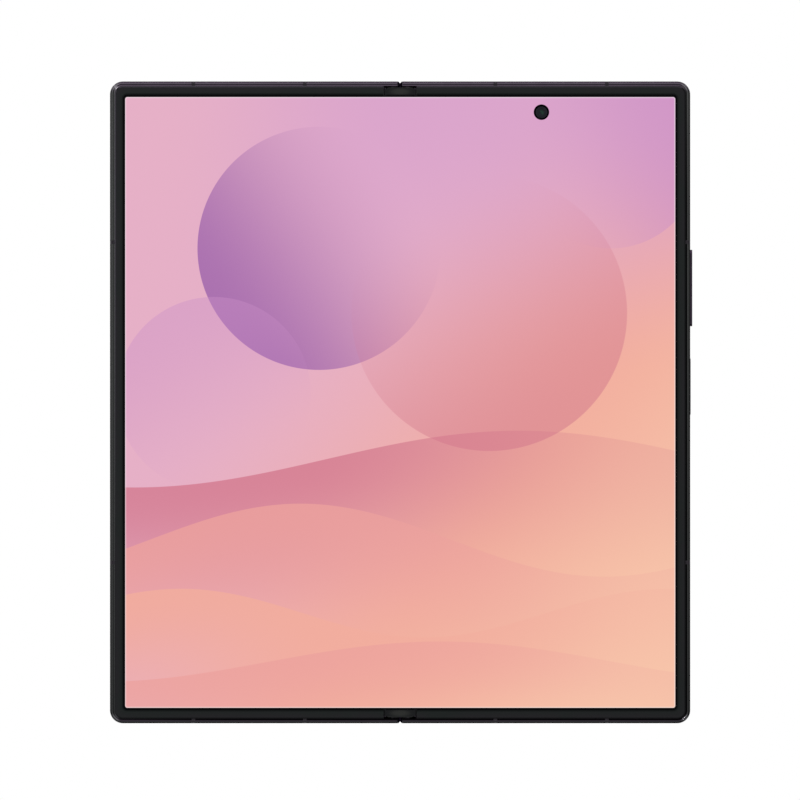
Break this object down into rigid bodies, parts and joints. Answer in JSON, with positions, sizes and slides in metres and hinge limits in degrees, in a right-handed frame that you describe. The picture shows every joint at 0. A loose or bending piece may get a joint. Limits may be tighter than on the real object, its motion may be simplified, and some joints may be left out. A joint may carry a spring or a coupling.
{
  "type": "foldable smartphone",
  "caption": "Book-style folding phone lying open: two thin halves on a geared spine hinge, one folding inner display, a cover display and rear cameras.",
  "frame": {"origin": "on the hinge centre line, midway along the phone, at the level of the rear camera rings (the lowest point)", "axes": "+X from the left half to the right half seen from the display side, +Y to the top edge, +Z out of the inner display"},
  "size_m": [0.1437, 0.1584, 0.0065],
  "materials": {
    "rim": "satin",
    "spine": "satin",
    "break": "matte",
    "bezel": "satin",
    "display": "gloss",
    "plate": "satin",
    "cover_glass": "gloss",
    "rear_glass": "satin",
    "lens": "gloss",
    "dark": "matte",
    "steel": "satin",
    "bronze": "satin",
    "battery": "satin",
    "board": "satin",
    "copper": "satin",
    "flash": "gloss",
    "key": "satin"
  },
  "bodies": {
    "spine": {"spine_cover": "spine", "hinge_end_caps": "dark", "hinge_brackets": "steel", "gear_shafts": "steel", "detent_cams": "bronze", "hinge_springs": "steel", "spine_screws": "steel", "inner_display_fold": "display", "display_lattice": "plate"},
    "left_half": {"left_frame": "rim", "left_antenna_breaks": "break", "left_bezel": "bezel", "left_display_panel": "display", "left_display_plate": "plate", "cover_glass": "cover_glass", "cover_display_panel": "dark", "cover_camera": "lens", "left_battery": "battery", "sub_board": "board", "sim_reader": "steel", "earpiece": "dark", "left_rotators": "steel", "left_rotator_screws": "steel", "left_magnets": "steel"},
    "right_half": {"right_frame": "rim", "right_antenna_breaks": "break", "right_bezel": "bezel", "right_display_panel": "display", "right_display_plate": "plate", "rear_glass": "rear_glass", "camera_island": "rim", "camera_rings": "rim", "camera_glasses": "lens", "camera_modules": "dark", "flash_lens": "flash", "main_board": "board", "right_battery": "battery", "inner_camera": "lens", "usb_port": "steel", "bottom_speaker": "dark", "top_speaker": "dark", "speaker_meshes": "steel", "vibration_motor": "steel", "charging_coil": "copper", "right_rotators": "steel", "right_rotator_screws": "steel", "right_magnets": "steel", "key_switches": "dark"},
    "volume_key": {"volume_key": "key"},
    "power_key": {"power_key": "key"},
    "sim_tray": {"sim_tray": "rim"},
    "left_arms": {"left_arms": "bronze"},
    "right_arms": {"right_arms": "bronze"},
    "left_idlers": {"left_idler_gears": "bronze"},
    "right_idlers": {"right_idler_gears": "bronze"},
    "left_wing": {"left_wing": "steel"},
    "right_wing": {"right_wing": "steel"}
  },
  "joints": [
    {"name": "right_fold", "type": "hinge", "parent": "spine", "child": "right_half", "pos_m": [0.00137, 0, 0.00537], "axis": [0, -1, 0], "range_deg": [0, 90], "deforming": ["inner_display_fold", "display_lattice"]},
    {"name": "left_fold", "type": "hinge", "parent": "spine", "child": "left_half", "pos_m": [-0.00137, 0, 0.00537], "axis": [0, 1, 0], "range_deg": [0, 90]},
    {"name": "right_arm_turn", "type": "hinge", "parent": "spine", "child": "right_arms", "pos_m": [0.00225, 0, 0.00425], "axis": [0, -1, 0], "range_deg": [0, 90]},
    {"name": "left_arm_turn", "type": "hinge", "parent": "spine", "child": "left_arms", "pos_m": [-0.00225, 0, 0.00425], "axis": [0, 1, 0], "range_deg": [0, 90]},
    {"name": "right_idler_turn", "type": "hinge", "parent": "spine", "child": "right_idlers", "pos_m": [0.00075, 0, 0.00425], "axis": [0, 1, 0], "range_deg": [0, 90]},
    {"name": "left_idler_turn", "type": "hinge", "parent": "spine", "child": "left_idlers", "pos_m": [-0.00075, 0, 0.00425], "axis": [0, -1, 0], "range_deg": [0, 90]},
    {"name": "right_wing_tilt", "type": "hinge", "parent": "right_half", "child": "right_wing", "pos_m": [0.0084, 0, 0.0053], "axis": [0, -1, 0], "range_deg": [0, 8]},
    {"name": "left_wing_tilt", "type": "hinge", "parent": "left_half", "child": "left_wing", "pos_m": [-0.0084, 0, 0.0053], "axis": [0, 1, 0], "range_deg": [0, 8]},
    {"name": "volume_rock", "type": "hinge", "parent": "right_half", "child": "volume_key", "pos_m": [0.0702, 0.02825, 0.0043], "axis": [0, 0, 1], "range_deg": [-1.3, 1.3], "stiffness_Nm_per_rad": 0.12},
    {"name": "power_press", "type": "slide", "parent": "right_half", "child": "power_key", "axis": [-1, 0, 0], "range_m": [0, 0.00022], "stiffness_N_per_m": 600, "springref_m": -0.0005},
    {"name": "sim_tray_slide", "type": "slide", "parent": "left_half", "child": "sim_tray", "axis": [0, -1, 0], "range_m": [0, 0.0185]}
  ],
  "couplings": [
    {"joint": "left_fold", "follows": "right_fold", "ratio": 1},
    {"joint": "right_arm_turn", "follows": "right_fold", "ratio": 1},
    {"joint": "left_arm_turn", "follows": "right_fold", "ratio": 1},
    {"joint": "right_idler_turn", "follows": "right_fold", "ratio": 1},
    {"joint": "left_idler_turn", "follows": "right_fold", "ratio": 1},
    {"joint": "right_wing_tilt", "follows": "right_fold", "ratio": 0.088888},
    {"joint": "left_wing_tilt", "follows": "right_fold", "ratio": 0.088888}
  ]
}
